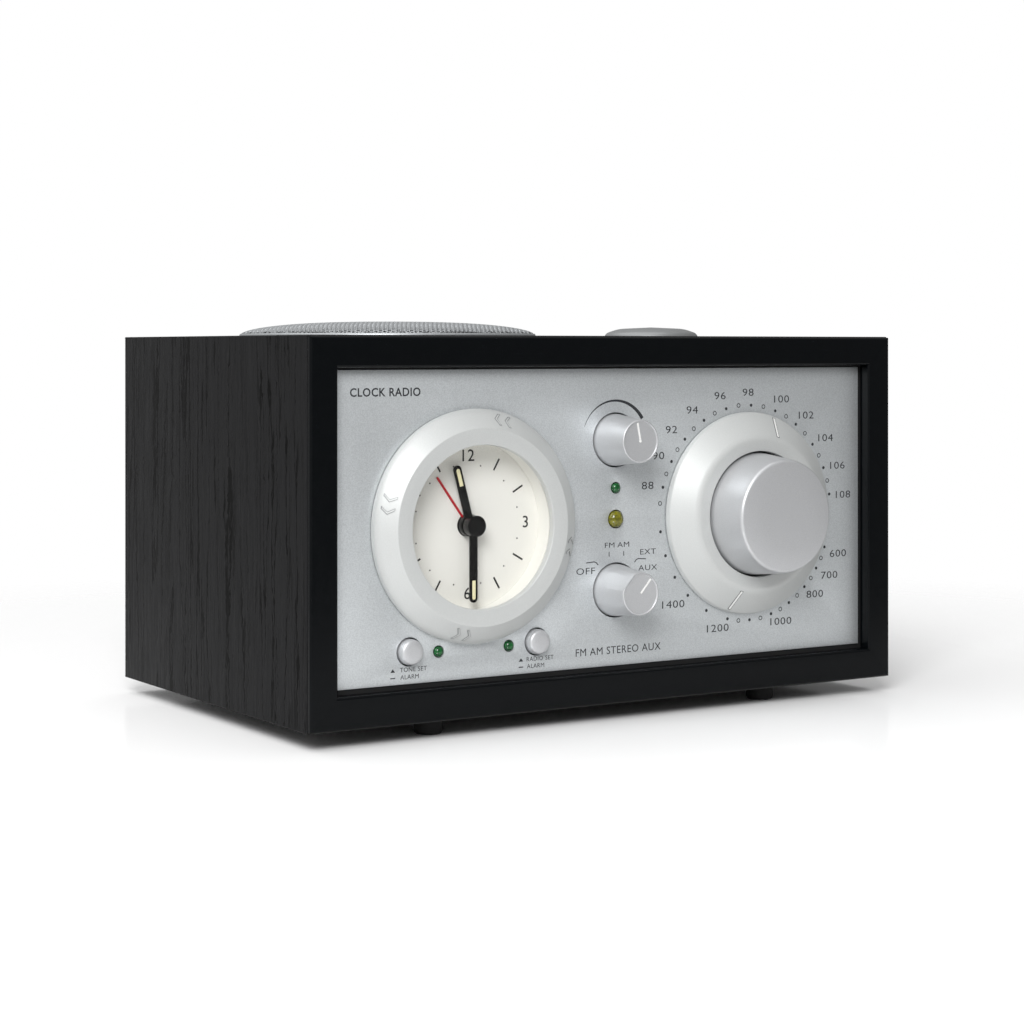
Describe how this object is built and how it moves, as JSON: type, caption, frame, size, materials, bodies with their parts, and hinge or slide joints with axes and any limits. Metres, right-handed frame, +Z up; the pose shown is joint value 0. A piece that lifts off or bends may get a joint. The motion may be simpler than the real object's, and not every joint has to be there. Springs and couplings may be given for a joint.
{
  "type": "clock radio",
  "caption": "Table clock radio: black wood cabinet, silver face with round analogue clock, tuning dial and knobs, and a domed speaker grille and snooze button on top.",
  "frame": {"origin": "centre of the bounding box on the surface that the feet stand on", "axes": "+Z up, the front face looks along -Y, and +X is to the right seen from the front"},
  "size_m": [0.2126, 0.1498, 0.1213],
  "materials": {
    "black_ash_veneer": "black-stained open-grain ash, satin",
    "black_lacquer": "satin black",
    "silver_paint": "fine metallic silver paint",
    "pearl_silver": "pearl silver, satin",
    "satin_aluminium": "satin",
    "silver_mesh": "perforated sheet, silver paint",
    "cream_plastic": "matt cream",
    "clear_acrylic": "clear, polished",
    "black_hand_enamel": "gloss black",
    "red_hand_enamel": "gloss red",
    "green_lamp": "unlit green lens",
    "amber_lamp": "unlit olive-amber lens",
    "black_plastic": "fine spark texture",
    "black_rubber": "matt",
    "bright_steel": "plated",
    "brass": "turned",
    "paper_cone": "pressed fibre",
    "ferrite": "sintered, dull",
    "circuit_board": "green solder mask",
    "battery_wrap": "plain shrink sleeve"
  },
  "bodies": {
    "cabinet": {"aerial_socket": "bright_steel", "aerial_switch": "bright_steel", "aux_jack": "bright_steel", "back_panel": "black_plastic", "back_screw_lower_left": "bright_steel", "back_screw_lower_right": "bright_steel", "back_screw_upper_left": "bright_steel", "back_screw_upper_right": "bright_steel", "battery": "battery_wrap", "battery_box": "black_plastic", "cabinet_shell": "black_ash_veneer", "clock_case": "cream_plastic", "clock_dial": "cream_plastic", "clock_lens": "clear_acrylic", "clock_movement": "black_plastic", "cone_surround": "black_rubber", "control_board": "circuit_board", "dc_inlet": "black_plastic", "drive_housing": "bright_steel", "face_plate": "silver_paint", "ferrite_rod_aerial": "ferrite", "foot_front_left": "black_rubber", "foot_front_right": "black_rubber", "foot_rear_left": "black_rubber", "foot_rear_right": "black_rubber", "front_frame": "black_lacquer", "headphone_jack": "bright_steel", "main_board": "circuit_board", "port_tube": "black_plastic", "power_lamp": "green_lamp", "radio_alarm_lamp": "green_lamp", "snooze_switch_housing": "black_plastic", "source_switch": "black_plastic", "speaker_basket": "black_plastic", "speaker_grille": "silver_mesh", "speaker_magnet": "ferrite", "speaker_yoke": "bright_steel", "tone_alarm_lamp": "green_lamp", "tuning_capacitor": "black_plastic", "tuning_lamp": "amber_lamp", "volume_potentiometer": "bright_steel"},
    "volume_control": {"volume_knob": "satin_aluminium", "volume_shaft": "bright_steel"},
    "source_control": {"source_knob": "satin_aluminium", "source_shaft": "bright_steel"},
    "tuning_control": {"tuning_knob": "satin_aluminium", "tuning_shaft": "bright_steel"},
    "tuning_pointer": {"tuning_dial": "pearl_silver", "drive_carrier": "brass"},
    "setting_ring": {"clock_ring": "pearl_silver"},
    "setting_wheel": {"setting_roller": "black_rubber"},
    "minute_hand": {"minute_hand": "black_hand_enamel"},
    "hour_hand": {"hour_hand": "black_hand_enamel"},
    "alarm_hand": {"alarm_hand": "red_hand_enamel"},
    "snooze_button": {"snooze_button": "pearl_silver"},
    "tone_alarm_button": {"tone_alarm_button": "satin_aluminium"},
    "radio_alarm_button": {"radio_alarm_button": "satin_aluminium"},
    "speaker_cone": {"speaker_cone": "paper_cone"},
    "battery_door": {"battery_door": "black_plastic"},
    "aerial_lever": {"aerial_switch_lever": "black_plastic"}
  },
  "joints": [
    {"name": "volume_turn", "type": "hinge", "parent": "cabinet", "child": "volume_control", "pos_m": [0, -0.0585, 0.08485], "axis": [0, 1, 0], "range_deg": [-150, 150]},
    {"name": "source_turn", "type": "hinge", "parent": "cabinet", "child": "source_control", "pos_m": [0, -0.0585, 0.03915], "axis": [0, 1, 0], "range_deg": [-101, 0]},
    {"name": "tuning_turn", "type": "hinge", "parent": "cabinet", "child": "tuning_control", "pos_m": [0.0504, -0.0585, 0.06075], "axis": [0, 1, 0], "range_deg": [-482.5, 342.5]},
    {"name": "pointer_turn", "type": "hinge", "parent": "cabinet", "child": "tuning_pointer", "pos_m": [0.0504, -0.0585, 0.06075], "axis": [0, 1, 0], "range_deg": [-96.5, 68.5]},
    {"name": "ring_turn", "type": "hinge", "parent": "cabinet", "child": "setting_ring", "pos_m": [-0.0504, -0.0585, 0.06075], "axis": [0, 1, 0], "continuous": true},
    {"name": "roller_turn", "type": "hinge", "parent": "cabinet", "child": "setting_wheel", "pos_m": [-0.07564, -0.0585, 0.08599], "axis": [0, 1, 0], "continuous": true},
    {"name": "minute_turn", "type": "hinge", "parent": "cabinet", "child": "minute_hand", "pos_m": [-0.0504, -0.0585, 0.06075], "axis": [0, 1, 0], "continuous": true},
    {"name": "hour_turn", "type": "hinge", "parent": "cabinet", "child": "hour_hand", "pos_m": [-0.0504, -0.0585, 0.06075], "axis": [0, 1, 0], "continuous": true},
    {"name": "alarm_turn", "type": "hinge", "parent": "cabinet", "child": "alarm_hand", "pos_m": [-0.0504, -0.0585, 0.06075], "axis": [0, 1, 0], "continuous": true},
    {"name": "snooze_press", "type": "slide", "parent": "cabinet", "child": "snooze_button", "axis": [0, 0, -1], "range_m": [0, 0.0015], "stiffness_N_per_m": 300, "springref_m": -0.002},
    {"name": "tone_alarm_press", "type": "slide", "parent": "cabinet", "child": "tone_alarm_button", "axis": [0, 1, 0], "range_m": [0, 0.0012], "stiffness_N_per_m": 250, "springref_m": -0.001},
    {"name": "radio_alarm_press", "type": "slide", "parent": "cabinet", "child": "radio_alarm_button", "axis": [0, 1, 0], "range_m": [0, 0.0012], "stiffness_N_per_m": 250, "springref_m": -0.001},
    {"name": "cone_travel", "type": "slide", "parent": "cabinet", "child": "speaker_cone", "axis": [0, 0, 1], "range_m": [-0.001, 0.001], "stiffness_N_per_m": 900, "deforming": ["cone_surround"]},
    {"name": "door_pull", "type": "slide", "parent": "cabinet", "child": "battery_door", "axis": [0, 1, 0], "range_m": [0, 0.012]},
    {"name": "aerial_slide", "type": "slide", "parent": "cabinet", "child": "aerial_lever", "axis": [1, 0, 0], "range_m": [0, 0.004]}
  ],
  "couplings": [
    {"joint": "pointer_turn", "follows": "tuning_turn", "ratio": 0.2},
    {"joint": "hour_turn", "follows": "minute_turn", "ratio": 0.083333},
    {"joint": "roller_turn", "follows": "ring_turn", "ratio": -4.9}
  ]
}
